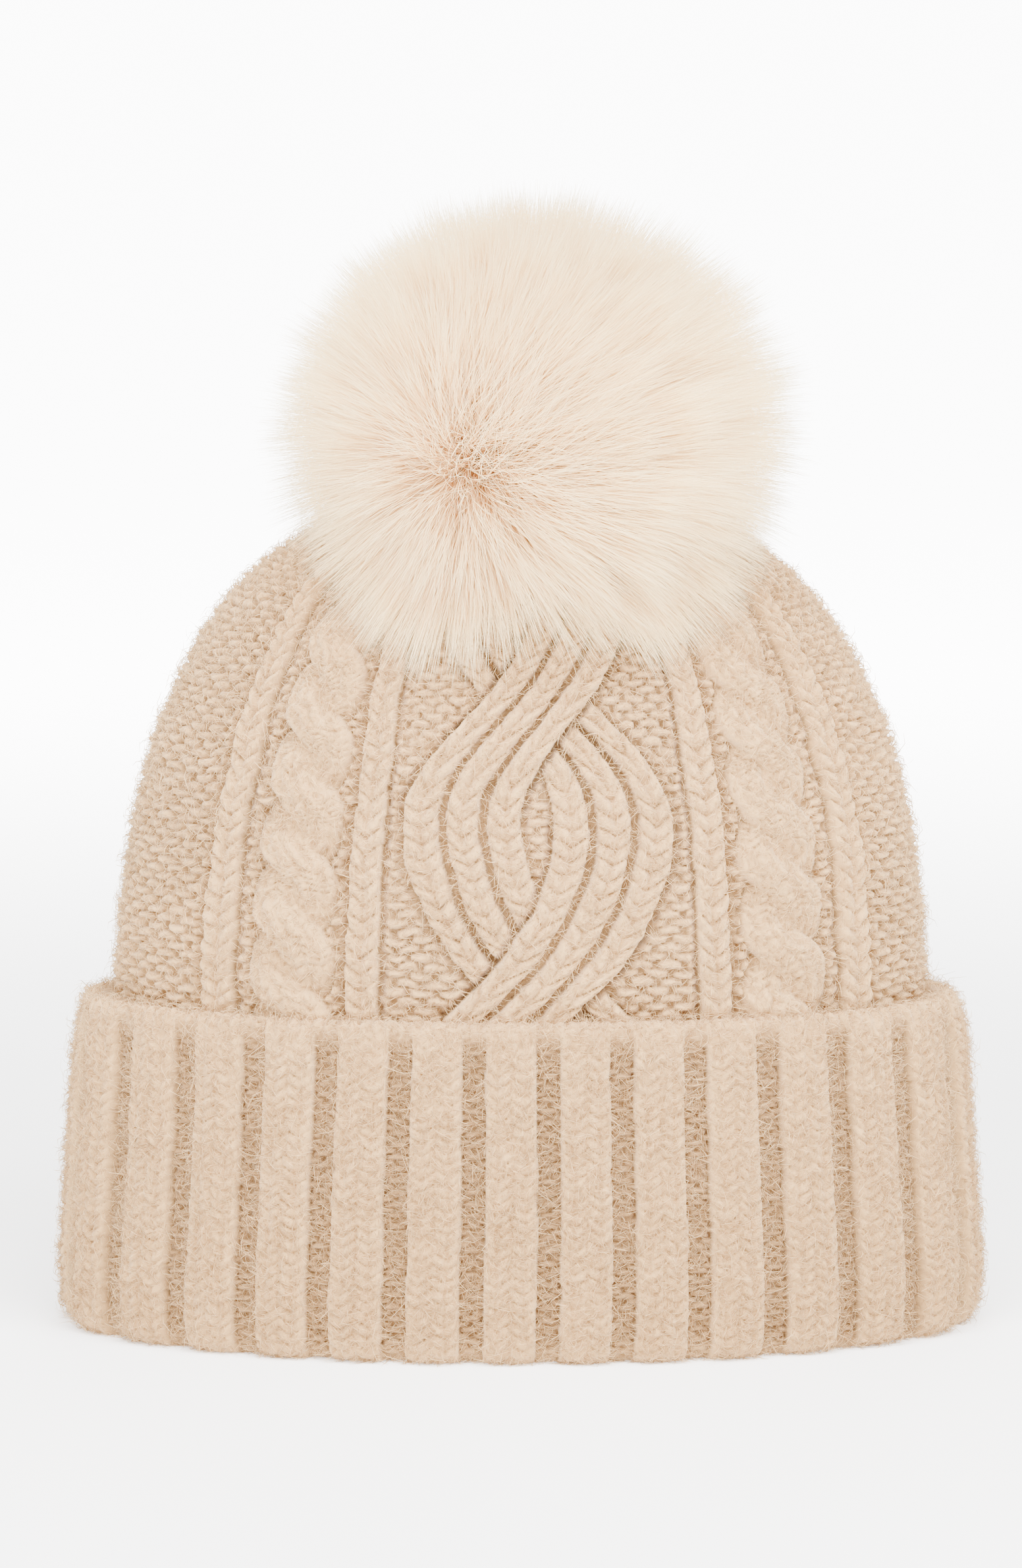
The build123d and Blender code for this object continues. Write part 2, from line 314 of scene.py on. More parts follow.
def grid_mesh(name, points, close_rows=True, values=None):
    """A mesh from a grid of points that closes round its columns, and round its rows if asked."""
    rows, columns = points.shape[:2]
    last = rows if close_rows else rows - 1
    i, j = np.meshgrid(np.arange(last), np.arange(columns), indexing="ij")
    i2, j2 = (i + 1) % rows, (j + 1) % columns
    faces = np.stack([i * columns + j, i * columns + j2, i2 * columns + j2, i2 * columns + j], -1)
    u0, u1 = j / columns, (j + 1) / columns
    v0, v1 = i / last, (i + 1) / last
    uvs = cell_corners(u0, v0, u1, v1)
    return add_mesh(name, points, faces.reshape(-1, 4), uvs.reshape(-1, 2), values)


def ribbons(name, lines, widths, values=None):
    """Thin flat fibres: lines is fibres by points by 3, widths is per point."""
    count, steps = lines.shape[:2]
    along = unit(np.gradient(lines, axis=1))
    side = unit(np.cross(along, RNG.normal(size=(count, 1, 3))))
    half = side * (0.5 * widths)[..., None]
    points = np.stack([lines - half, lines + half], axis=2)
    k, i = np.meshgrid(np.arange(count), np.arange(steps - 1), indexing="ij")
    base = (k * steps + i) * 2
    faces = np.stack([base, base + 1, base + 3, base + 2], -1).reshape(-1, 4)
    side_count = int(math.ceil(math.sqrt(count)))
    cell_x, cell_y = (k % side_count) / side_count, (k // side_count) / side_count
    step = 0.8 / side_count
    v0, v1 = cell_y + step * i / (steps - 1), cell_y + step * (i + 1) / (steps - 1)
    u0, u1 = cell_x, cell_x + step
    uvs = cell_corners(u0, v0, u1, v1)
    per_point = {key: np.repeat(value[..., None], 2, axis=2) for key, value in (values or {}).items()}
    return add_mesh(name, points, faces, uvs.reshape(-1, 2), per_point)


def tube(name, path, radius, sides=10, plies=0, closed=False, twist=0.0):
    """A round yarn along a path; with plies it is lobed and twisted, twist being turns in all."""
    path = np.asarray(path, float)
    count = len(path)
    if closed:
        along = unit(np.roll(path, -1, axis=0) - np.roll(path, 1, axis=0))
    else:
        along = unit(np.gradient(path, axis=0))
    helper = np.where(np.abs(along[:, 2:3]) < 0.8, [[0.0, 0.0, 1.0]], [[0.0, 1.0, 0.0]])
    side = unit(np.cross(along, helper))
    up = np.cross(side, along)
    turn = np.linspace(0, 2 * math.pi * twist, count, endpoint=not closed)
    angle = np.arange(sides) / sides * 2 * math.pi
    if plies:
        lobes = 0.78 + 0.22 * np.abs(np.cos(0.5 * plies * (angle[None, :] - turn[:, None])))
    else:
        lobes = np.ones((count, sides))
    reach = radius * lobes
    points = (
        path[:, None, :]
        + (reach * np.cos(angle))[..., None] * side[:, None, :]
        + (reach * np.sin(angle))[..., None] * up[:, None, :]
    )
    return grid_mesh(name, points, close_rows=closed)


def merge(name, pieces):
    """Joins meshes into one piece."""
    with bpy.context.temp_override(active_object=pieces[0], selected_editable_objects=pieces):
        bpy.ops.object.join()
    pieces[0].name = name
    pieces[0].data.name = name
    return pieces[0]


# ---------------------------------------------------------------- materials


class Nodes:
    """A material and short calls for its nodes."""

    def __init__(self, name):
        self.material = bpy.data.materials.new(name)
        self.material.use_nodes = True
        self.tree = self.material.node_tree
        self.tree.nodes.clear()
        self.out = self.tree.nodes.new("ShaderNodeOutputMaterial")

    def add(self, kind, inputs=None, **settings):
        """A node with its settings and input values."""
        node = self.tree.nodes.new("ShaderNode" + kind)
        for key, value in settings.items():
            setattr(node, key, value)
        for key, value in (inputs or {}).items():
            node.inputs[key].default_value = value
        return node

    def link(self, a, b):
        """Joins an output socket to an input socket."""
        self.tree.links.new(a, b)

    def ramp(self, source, stops):
        """A colour ramp of (position, (r, g, b)) stops."""
        node = self.add("ValToRGB")
        elements = node.color_ramp.elements
        while len(elements) < len(stops):
            elements.new(0.5)
        for element, (position, colour) in zip(elements, stops):
            element.position = position
            element.color = (*colour, 1.0)
        self.link(source, node.inputs["Fac"])
        return node.outputs["Color"]

    def mix(self, a, b, factor, blend="MIX"):
        """Mixes two colours; a, b and factor are sockets or plain values."""
        node = self.add("Mix", data_type="RGBA", blend_type=blend)
        for key, value in ((0, factor), (6, a), (7, b)):
            if isinstance(value, bpy.types.NodeSocket):
                self.link(value, node.inputs[key])
            elif key == 0:
                node.inputs[key].default_value = value
            else:
                node.inputs[key].default_value = (*value, 1.0)
        return node.outputs[2]

    def noise(self, scale, detail=3.0, roughness=0.6, stretch=(1.0, 1.0, 1.0)):
        """Noise in the object's own coordinates; scale is per metre."""
        place = self.add("TexCoord")
        mapping = self.add("Mapping", {"Scale": stretch})
        self.link(place.outputs["Object"], mapping.inputs["Vector"])
        node = self.add("TexNoise", {"Scale": scale, "Detail": detail, "Roughness": roughness})
        self.link(mapping.outputs["Vector"], node.inputs["Vector"])
        return node.outputs["Fac"]

    def bump(self, height, strength, distance):
        """A bump from a height socket."""
        node = self.add("Bump", {"Strength": strength, "Distance": distance})
        self.link(height, node.inputs["Height"])
        return node.outputs["Normal"]


def wool_material(name, light, dark, attribute=None):
    """Brushed wool: mottled yarn with painted shade between the stitches when a height attribute is given, a
    fine fibre bump and a soft sheen.
    """
    n = Nodes(name)
    shader = n.add("BsdfPrincipled", {"Roughness": 0.92, "Sheen Weight": 0.35, "Sheen Roughness": 0.55})
    shader.inputs["Sheen Tint"].default_value = (1.0, 0.93, 0.84, 1.0)
    shader.inputs["Specular IOR Level"].default_value = 0.15
    dull, bright = [0.93 * c for c in light], [min(1.0, 1.05 * c) for c in light]
    mottled = n.ramp(n.noise(420.0, 4.0), [(0.3, dull), (0.7, bright)])
    fibres = n.noise(2600.0, 3.0, 0.75)
    flecks = n.ramp(fibres, [(0.42, (0.55,) * 3), (0.62, (0.0,) * 3)])
    flecked = n.mix(mottled, [0.78 * c for c in light], flecks)
    colour = flecked
    if attribute:
        # Painted shade: the height attribute darkens the yarn towards the dark colour in the grooves between
        # stitches.
        depth = n.add("Attribute", attribute_name=attribute)
        middle = [0.5 * (a + b) for a, b in zip(dark, light)]
        shade = n.ramp(depth.outputs["Fac"], [(0.0, dark), (0.34, middle), (0.7, light)])
        colour = n.mix(flecked, shade, 0.62)
    n.link(colour, shader.inputs["Base Color"])
    n.link(n.bump(fibres, 0.55, 0.0006), shader.inputs["Normal"])
    n.link(shader.outputs["BSDF"], n.out.inputs["Surface"])
    return n.material


def fibre_material(name, root, tip, translucency, spread=0.06):
    """Loose fibres that let light through, from a root colour to a tip colour."""
    n = Nodes(name)
    along = n.add("Attribute", attribute_name="along")
    shade = n.add("Attribute", attribute_name="shade")
    middle = [0.5 * (a + b) for a, b in zip(root, tip)]
    colour = n.ramp(along.outputs["Fac"], [(0.0, root), (0.45, middle), (0.85, tip)])
    varied = n.ramp(shade.outputs["Fac"], [(0.0, (1 - 2 * spread,) * 3), (1.0, (1.0,) * 3)])
    colour = n.mix(colour, varied, 1.0, "MULTIPLY")
    shader = n.add("BsdfPrincipled", {"Roughness": 0.62, "Sheen Weight": 0.15, "Sheen Roughness": 0.4})
    shader.inputs["Specular IOR Level"].default_value = 0.25
    through = n.add("BsdfTranslucent")
    both = n.add("MixShader", {"Fac": translucency})
    n.link(colour, shader.inputs["Base Color"])
    n.link(colour, through.inputs["Color"])
    n.link(shader.outputs["BSDF"], both.inputs[1])
    n.link(through.outputs["BSDF"], both.inputs[2])
    n.link(both.outputs["Shader"], n.out.inputs["Surface"])
    return n.material


def cloth_material(name, light, dark, scale, bump=0.0004, roughness=0.85):
    """A plain woven or felted surface."""
    n = Nodes(name)
    shader = n.add("BsdfPrincipled", {"Roughness": roughness, "Sheen Weight": 0.25})
    grain = n.noise(scale, 5.0, 0.7)
    n.link(n.ramp(grain, [(0.3, dark), (0.7, light)]), shader.inputs["Base Color"])
    n.link(n.bump(grain, 0.6, bump), shader.inputs["Normal"])
    n.link(shader.outputs["BSDF"], n.out.inputs["Surface"])
    return n.material


def metal_material(name):
    """Antique nickelled brass with fine handling marks."""
    n = Nodes(name)
    shader = n.add("BsdfPrincipled", {"Metallic": 1.0})
    marks = n.noise(900.0, 6.0, 0.7, (1.0, 4.0, 1.0))
    worn = n.ramp(marks, [(0.35, (0.42, 0.36, 0.25)), (0.65, (0.66, 0.60, 0.47))])
    n.link(worn, shader.inputs["Base Color"])
    rough = n.ramp(marks, [(0.3, (0.42,) * 3), (0.7, (0.24,) * 3)])
    n.link(rough, shader.inputs["Roughness"])
    n.link(n.bump(marks, 0.15, 0.0001), shader.inputs["Normal"])
    n.link(shader.outputs["BSDF"], n.out.inputs["Surface"])
    return n.material


WOOL_LIGHT = (0.55, 0.335, 0.14)
# The second wool colour is painted shade: the colour the knit is darkened to in the grooves between
# stitches.
WOOL_GROOVE_SHADE = (0.15, 0.074, 0.025)
crown_wool = wool_material("crown_wool", WOOL_LIGHT, WOOL_GROOVE_SHADE, "depth")
cuff_wool = wool_material("cuff_wool", WOOL_LIGHT, WOOL_GROOVE_SHADE, "depth")
plain_wool = wool_material("plain_wool", WOOL_LIGHT, WOOL_GROOVE_SHADE)
# The fuzz tips are painted lighter than the yarn: a painted highlight for the light that the loose fibres
# catch.
wool_fuzz = fibre_material("wool_fuzz", (0.52, 0.32, 0.14), (0.88, 0.63, 0.34), 0.45, 0.20)
fur = fibre_material("fur", (0.96, 0.69, 0.41), (1.0, 0.86, 0.57), 0.55, 0.05)
felt = cloth_material("felt", (0.62, 0.49, 0.36), (0.46, 0.35, 0.25), 1500.0)
backing = cloth_material("backing", (0.66, 0.54, 0.42), (0.50, 0.39, 0.29), 2200.0)
fill_white = cloth_material("fill_white", (0.88, 0.87, 0.84), (0.74, 0.73, 0.70), 500.0, 0.002)
satin = cloth_material("satin", (0.86, 0.84, 0.79), (0.78, 0.76, 0.71), 3500.0, 0.00005, 0.38)
metal = metal_material("stud_metal")
cap_plastic = cloth_material("cap_plastic", (0.66, 0.53, 0.39), (0.60, 0.48, 0.35), 3000.0, 0.00005, 0.5)


def dress(piece, material, body, slot, *nodes):
    """Gives a piece its material and body and hides the CAD nodes that it stands for; slot is not used."""
    piece.data.materials.clear()
    piece.data.materials.append(material)
    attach(piece, body)
    if nodes:
        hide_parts(*nodes)
    return piece


def depth_value(height, low, high):
    """Where a height lies between a groove and a crest, 0 to 1."""
    return np.clip((height - low) / (high - low), 0.0, 1.0)


# ---------------------------------------------------------------- fuzz


def fuzz_on(name, points, normals, count, body, slot, reach=(1.6, 4.8)):
    """Short brushed fibres standing off a knitted grid."""
    rows, columns = points.shape[:2]
    i = RNG.integers(0, rows, count)
    j = RNG.integers(0, columns, count)
    root = points[i, j] - 0.25 * normals[i, j]
    out = normals[i, j]
    flat = unit(np.cross(out, RNG.normal(size=(count, 3))))
    lean = RNG.uniform(0.15, 1.0, (count, 1))
    length = RNG.uniform(*reach, (count, 1)) * np.where(RNG.random((count, 1)) < 0.06, 1.7, 1.0)
    mid = root + length * (0.5 * out * (1 - 0.45 * lean) + 0.35 * flat)
    tip = root + length * (0.62 * out * (1 - 0.8 * lean) + 0.95 * flat * (0.6 + 0.5 * lean))
    lines = np.stack([root, mid, tip], axis=1)
    lines[..., 2] = np.maximum(lines[..., 2], 0.15)
    widths = np.broadcast_to(np.array([0.17, 0.15, 0.05]), (count, 3))
    along = np.broadcast_to(np.array([0.0, 0.5, 1.0]), (count, 3))
    shade = np.repeat(RNG.random((count, 1)), 3, axis=1)
    piece = ribbons(name, lines, widths, {"along": along, "shade": shade})
    return dress(piece, wool_fuzz, body, slot)


# ---------------------------------------------------------------- crown


def build_crown():
    """The cable-knit crown, outside and inside, with the gathered hole in its top."""
    columns = int(1160 / FINE)
    angles, around = even_angles(CROWN_A, CROWN_B, columns)
    s = (np.arange(columns) / columns - 0.5) * around
    z_side = np.linspace(CROWN_BASE - 3.0, CROWN_TOP, 900)
    a, b = crown_half(np.maximum(z_side, CROWN_BASE))
    step = np.hypot(np.gradient(z_side), 0.5 * np.gradient(a) + 0.5 * np.gradient(b))
    length = np.concatenate([[0], np.cumsum(step[1:])])
    wanted = np.linspace(0, length[-1], int(length[-1] / (0.42 * FINE)))
    z = np.interp(wanted, length, z_side)
    a, b = crown_half(np.maximum(z, CROWN_BASE))
    close = np.linspace(0, 1, int(46 / FINE))[1:]
    top_a = a[-1] + (HOLE_RADIUS - a[-1]) * close
    top_b = b[-1] + (HOLE_RADIUS - b[-1]) * close
    top_z = np.full(len(close), CROWN_TOP)
    outer_z = np.concatenate([z, top_z])
    outer = oval_rows(np.concatenate([a, top_a]), np.concatenate([b, top_b]), outer_z, angles)
    normals = grid_normals(outer)
    path = CROWN_BASE - 3.0 + np.arange(len(outer_z)) * (wanted[1] - wanted[0])
    S, P = np.meshgrid(s, path)
    pattern = crown_pattern(S, P, 0.5 * around)
    fade = smooth(CROWN_TOP + 1.0, CROWN_TOP - 7.0, outer_z)[:, None]
    settle = 0.9 * soft_noise(S / around * 22 + 50, P / 26.0, 5, 22) * smooth(90, 120, P)
    height = (pattern + yarn_fluff(S, P, 0.38, 0.26)) * (0.25 + 0.75 * fade) - 0.5 + settle * fade
    height = np.where(P > path[-1] - 6.0, np.minimum(height, 0.0), height)
    points = outer + normals * height[..., None]
    ceiling = CROWN_TOP - CROWN_WALL
    in_z = np.concatenate([[ceiling], np.linspace(ceiling, CROWN_BASE - 3.0, 34)])
    in_a, in_b = crown_half(np.maximum(in_z, CROWN_BASE))
    in_a, in_b = in_a - CROWN_WALL, in_b - CROWN_WALL
    in_a[0], in_b[0] = HOLE_RADIUS + 0.2, HOLE_RADIUS + 0.2
    inner = oval_rows(in_a, in_b, in_z, angles)
    inner[2:] += 0.25 * np.sin(S[:1] * 0.95)[..., None] * unit(inner[2:] * [1, 1, 0])
    whole = np.concatenate([points, inner], axis=0)
    # Painted shade: grooves get a low value that the material turns dark; the inside gets an even middle
    # value.
    depth = np.concatenate([depth_value(height, -2.4, 2.2), np.full(inner.shape[:2], 0.45)], axis=0)
    piece = grid_mesh("crown_knit", whole, values={"depth": depth})
    dress(piece, crown_wool, "hat", "wool_crown", "crown_shell")
    shown = slice(8, int(len(z) * 0.99))
    fuzz_on("crown_fuzz", points[shown], normals[shown], FUZZ_FIBRES, "hat", "wool_crown")
    return piece


build_crown()


# ---------------------------------------------------------------- cuff and inner band


def build_cuff():
    """The turned-up cuff: ribs outside, a rolled top edge and the fold along the bottom."""
    columns = int(1380 / FINE)
    angles, around = even_angles(CUFF_A, CUFF_B, columns)
    s = (np.arange(columns) / columns - 0.5) * around
    pitch = around / CUFF_RIBS
    mouth = CUFF_WALL + BAND_WALL
    fold = np.linspace(0, 0.5 * math.pi, int(16 / FINE))
    inset = [mouth - 0.4 - 3.2 * np.sin(fold[::-1]), 4.5 - 4.5 * np.sin(fold)]
    z = [4.8 - 4.8 * np.cos(fold[::-1]), 4.5 - 4.5 * np.cos(fold)]
    rise = np.linspace(4.5, CUFF_TOP - 2.8, int((CUFF_TOP - 7.3) / (0.42 * FINE)))[1:]
    inset.append(np.zeros(len(rise)))
    z.append(rise)
    roll = np.linspace(0, math.pi, int(20 / FINE))[1:]
    inset.append(2.75 - 2.75 * np.cos(roll))
    z.append(CUFF_TOP - 2.8 + 2.8 * np.sin(roll))
    pocket = np.linspace(CUFF_TOP - 6.0, 5.4, 24)
    inset.append(np.full(24, 5.5))
    z.append(pocket)
    inset = np.concatenate(inset)
    z = np.concatenate(z)
    a, b = cuff_half(z)
    a, b = a - inset, b - inset
    points = oval_rows(a, b, z, angles)
    normals = grid_normals(points)
    move = np.concatenate([[0], np.cumsum(np.hypot(np.diff(z), np.diff(inset)))])
    S, P = np.meshgrid(s, move)
    Z = np.broadcast_to(z[:, None], S.shape)
    I = np.broadcast_to(inset[:, None], S.shape)
    outside = smooth(5.0, 1.5, I)
    edge = smooth(CUFF_TOP - 1.0, CUFF_TOP - 10.0, Z)
    bend = soft_noise(S / around * 12 + 30, P / 60.0, 9, 12)
    pattern = cuff_pattern(S + 0.8 * bend, P, pitch)
    pattern += yarn_fluff(S, P, 0.20, 0.14)
    cast_on = 0.45 * np.sin(2 * math.pi * S / (pitch / 6)) * smooth(CUFF_TOP - 7.0, CUFF_TOP - 2.0, Z)
    relief = pattern * (0.12 + 0.88 * edge) * (0.35 + 0.65 * smooth(-1.0, 7.0, Z))
    height = outside * (relief + cast_on - 0.25)
    height += 0.5 * bend * outside * edge
    points = points + normals * height[..., None]
    points[..., 2] = np.maximum(points[..., 2], 0.0)
    # Painted shade: grooves get a low value that the material turns dark, lifted near the rolled top and on
    # the parts turned inwards.
    depth = depth_value(height + 0.8 * (1 - edge) + 0.5 * (1 - outside), -2.8, 1.9)
    piece = grid_mesh("cuff_knit", points, values={"depth": depth})
    dress(piece, cuff_wool, "hat", "wool_cuff", "cuff")
    shown = slice(int(12 / FINE), len(z) - 30)
    fuzz_on("cuff_fuzz", points[shown], normals[shown], FUZZ_FIBRES, "hat", "wool_cuff")
    return piece


def build_band():
    """The ribbed layer inside the cuff, with its wrong side facing in."""
    columns = int(840 / FINE)
    angles, around = even_angles(CUFF_A, CUFF_B, columns)
    s = (np.arange(columns) / columns - 0.5) * around
    up = np.linspace(BAND_LOW[2], BAND_HIGH[2], 20)
    down = np.linspace(BAND_HIGH[2], BAND_LOW[2], int(80 / (0.7 * FINE)))
    z = np.concatenate([up, down])
    inset = np.concatenate([np.full(20, CUFF_WALL + 0.3), np.full(len(down), CUFF_WALL + 0.3 + BAND_WALL)])
    a, b = cuff_half(z)
    points = oval_rows(a - inset, b - inset, z, angles)
    S, Z = np.meshgrid(s, z)
    inward = -unit(points * [1, 1, 0])
    height = 0.4 * (cuff_pattern(S, Z, around / CUFF_RIBS) + 0.6) * (np.arange(len(z)) >= 20)[:, None]
    points = points + inward * np.clip(height, -0.8, 1.0)[..., None]
    # Painted shade: the band's grooves get a low value that the material turns dark.
    piece = grid_mesh("band_knit", points, values={"depth": depth_value(height, -0.8, 0.9)})
    return dress(piece, cuff_wool, "hat", "wool_band", "inner_band")


build_cuff()
build_band()


# ---------------------------------------------------------------- seams, gather and label


def seam_stitches(name, low, high, levels, depth_of, node):
    """An overcast seam: a yarn ridge down the back with slanting stitches over it."""
    z = np.linspace(low[2] + 0.6, high[2] - 0.6, levels)
    y = depth_of(z)
    ridge = tube(name + "_ridge", np.stack([np.zeros_like(z), y, z], -1), 0.85, 10, 2, twist=levels / 6)
    loops = []
    for k in range(int((high[2] - low[2]) / 3.2)):
        centre = low[2] + 1.8 + 3.2 * k
        turn = np.linspace(0, 2 * math.pi, 15)[:-1]
        back = np.interp(centre, z, y) + 0.75 * np.sin(turn)
        path = np.stack([1.05 * np.cos(turn), back, centre + 0.75 * np.cos(turn)], -1)
        loops.append(tube(f"{name}_{k}", path, 0.38, 6, closed=True))
    return dress(merge(name, [ridge, *loops]), plain_wool, "hat", "sewing_yarn", node)


def back_of_crown(z):
    """Where the crown seam's middle runs, inside the back."""
    return crown_half(z)[1] - CROWN_WALL - 1.3


def back_of_band(z):
    """Where the band seam's middle runs."""
    return cuff_half(z)[1] - CUFF_WALL - BAND_WALL - 1.6


seam_stitches("crown_seam_yarn", SEAM_LOW, SEAM_HIGH, 90, back_of_crown, "crown_seam")
seam_stitches("band_seam_yarn", BAND_SEAM_LOW, BAND_SEAM_HIGH, 80, back_of_band, "band_seam")


def ring_of_yarn(name, low, high, material, body, slot, node):
    """A closed ring of plied yarn that fills a CAD ring's box."""
    centre, radius = (low + high) / 2, (high[2] - low[2]) / 2
    ring = (high[0] - low[0]) / 2 - radius
    turn = np.arange(160) / 160 * 2 * math.pi
    path = centre + np.stack([ring * np.cos(turn), ring * np.sin(turn), 0 * turn], -1)
    return dress(tube(name, path, radius, 14, 3, True, 14.0), material, body, slot, node)


ring_of_yarn("gather_ring", GATHER_LOW, GATHER_HIGH, plain_wool, "gather", "sewing_yarn", "gather_yarn")
ring_of_yarn("pom_drawstring", THREAD_LOW, THREAD_HIGH, plain_wool, "pom", "sewing_yarn", "pom_thread")


def build_label():
    """A small blank satin label: a thin sheet with a slight curl."""
    width, tall = LABEL_HIGH[0] - LABEL_LOW[0], LABEL_HIGH[2] - LABEL_LOW[2]
    across, down = np.linspace(-0.5, 0.5, 40), np.linspace(0, 1, 64)
    A, D = np.meshgrid(across, down)
    y = 0.5 * (LABEL_LOW[1] + LABEL_HIGH[1]) - 1.0 * D**2 + 0.35 * np.cos(3.1 * A) * D
    front = np.stack([A * width, y, LABEL_HIGH[2] - D * tall], -1).reshape(-1, 3)
    rows, columns = A.shape
    i, j = np.meshgrid(np.arange(rows - 1), np.arange(columns - 1), indexing="ij")
    base = i * columns + j
    faces = np.stack([base, base + columns, base + columns + 1, base + 1], -1).reshape(-1, 4)
    piece = add_mesh("blank_label", front, faces)
    thick = piece.modifiers.new("thickness", "SOLIDIFY")
    thick.thickness = 0.45 * MM
    thick.offset = 0
    dress(piece, satin, "hat", "label_satin", "care_label")


build_label()


# ---------------------------------------------------------------- crown patch and press stud


def build_patch():
    """The felted centre of the crown: a thick disc with a soft, uneven face."""
    centre = (PATCH_LOW + PATCH_HIGH) / 2
    radius, half = (PATCH_HIGH[0] - PATCH_LOW[0]) / 2, (PATCH_HIGH[2] - PATCH_LOW[2]) / 2
    edge = np.linspace(0, math.pi / 2, 6)
    ring = np.concatenate([np.linspace(1.3, radius - 0.8, 14), radius - 0.8 + 0.8 * np.sin(edge)])
    lift = np.concatenate([np.full(14, half), half - 0.8 + 0.8 * np.cos(edge)])
    ring, lift = np.concatenate([ring, ring[::-1]]), np.concatenate([lift, -lift[::-1]])
    turn = np.arange(96) / 96 * 2 * math.pi
    R, T = np.meshgrid(ring, turn, indexing="ij")
    lumps = 1 + 0.012 * np.sin(7 * T) * np.sin(R)
    Z = np.broadcast_to(lift[:, None], R.shape)
    points = np.stack([R * lumps * np.cos(T), R * lumps * np.sin(T), Z], -1) + centre
    piece = grid_mesh("felt_patch", points[::-1])
    dress(piece, felt, "socket", "felt", "crown_patch")


build_patch()
STUD_MATERIALS = {
    "snap_socket": metal,
    "snap_stud": metal,
    "socket_cap": cap_plastic,
    "stud_cap": cap_plastic,
}
for node, material in STUD_MATERIALS.items():
    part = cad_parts[node]
    part.data.materials.clear()
    part.data.materials.append(material)


# ---------------------------------------------------------------- pom pom


def cut_ball(name, centre, radius, base_z, lumpiness, wall=0.0, hole=0.0):
    """A slightly lumpy ball with a flat base; with a wall it is hollow, open at a hole in its base."""
    base = max(-1.0, (base_z - centre[2]) / radius)
    polar = np.linspace(0.02, math.acos(base), 80)
    ring, rise = radius * np.sin(polar), radius * np.cos(polar)
    flat = np.linspace(ring[-1], max(hole, 0.05), 14)[1:]
    ring, rise = np.concatenate([ring, flat]), np.concatenate([rise, np.full(13, rise[-1])])
    if wall:
        inner_r, inner_z = ring[::-1] * (1 - wall / radius), rise[::-1] * (1 - wall / radius)
        ring, rise = np.concatenate([ring, np.maximum(inner_r, hole)]), np.concatenate([rise, inner_z])
    turn = np.arange(140) / 140 * 2 * math.pi
    R, T = np.meshgrid(ring, turn, indexing="ij")
    H = np.broadcast_to(rise[:, None], R.shape)
    lumps = 1 - lumpiness * (0.5 + 0.5 * np.sin(5 * T + H * 0.3) * np.cos(0.35 * H + 2 * np.cos(T)))
    points = np.stack([R * lumps * np.cos(T), R * lumps * np.sin(T), H], -1) + centre
    return grid_mesh(name, points[::-1], close_rows=bool(wall))


def build_pom_core():
    """The gathered fur backing and the fibre filling inside it."""
    skin = cut_ball("pom_backing", SKIN_CENTRE, SKIN_RADIUS, SKIN_LOW[2], 0.01, 1.6, 1.3)
    dress(skin, backing, "pom", "fur_backing", "pom_skin")
    radius = STUFFING_HIGH[0]
    filling = cut_ball("pom_filling", SKIN_CENTRE, radius, STUFFING_LOW[2] + 0.4, 0.05)
    dress(filling, fill_white, "pom", "fibre_fill", "pom_stuffing")


build_pom_core()

EYE = unit(np.array([-0.20, -0.97, -0.12]))  # where the pile parts, facing forwards
FUR_CENTRE = np.array([4.6, -2.0, FUR_HIGH[2] - 59.5])
FUR_REACH = np.array([72.5, 67.0, 65.0])


def envelope(directions):
    """Distance from the backing's centre to the pile's outside along each direction."""
    scaled = directions / FUR_REACH
    offset = (SKIN_CENTRE - FUR_CENTRE) / FUR_REACH
    a = (scaled**2).sum(-1)
    b = (scaled * offset).sum(-1)
    c = (offset**2).sum() - 1.0
    return (-b + np.sqrt(b * b - a * c)) / a


def parted(directions):
    """Directions combed away from the eye, and how near each is to it, 0 to 1."""
    cosine = np.clip(directions @ EYE, -1, 1)[:, None]
    away = unit(directions - cosine * EYE)
    angle = np.arccos(cosine)
    near = np.exp(-((angle / 0.38) ** 2))
    angle = angle + 0.10 * np.exp(-((angle / 0.9) ** 2)) * smooth(0.0, 0.6, angle)
    loose = RNG.normal(scale=0.24, size=directions.shape) * near
    sweep = np.array([0.42, 0.0, 0.34]) * np.exp(-((angle / 0.95) ** 2))
    return unit(np.cos(angle) * EYE + np.sin(angle) * away + sweep + loose), near[:, 0]


def over_crown(lines, spare):
    """Moves the parts of the strands that would be inside the crown out to its front or back."""
    x, y, z = lines[..., 0], lines[..., 1], lines[..., 2]
    a, b = crown_half(np.clip(z, CROWN_BASE, CROWN_TOP))
    a, b = a + 3.0, b + 3.2
    inside_x = np.clip(1.0 - (x / a) ** 2, 0.0, 1.0)
    needed = b * np.sqrt(inside_x) + spare
    way = np.where(lines[:, -1:, 1] < 0, -1.0, 1.0)
    low = smooth(CROWN_TOP + 10.0, CROWN_TOP - 6.0, z)
    target = np.where(way * y < needed, way * needed, y)
    lines[..., 1] = y + (target - y) * low * (inside_x > 0)
    return lines


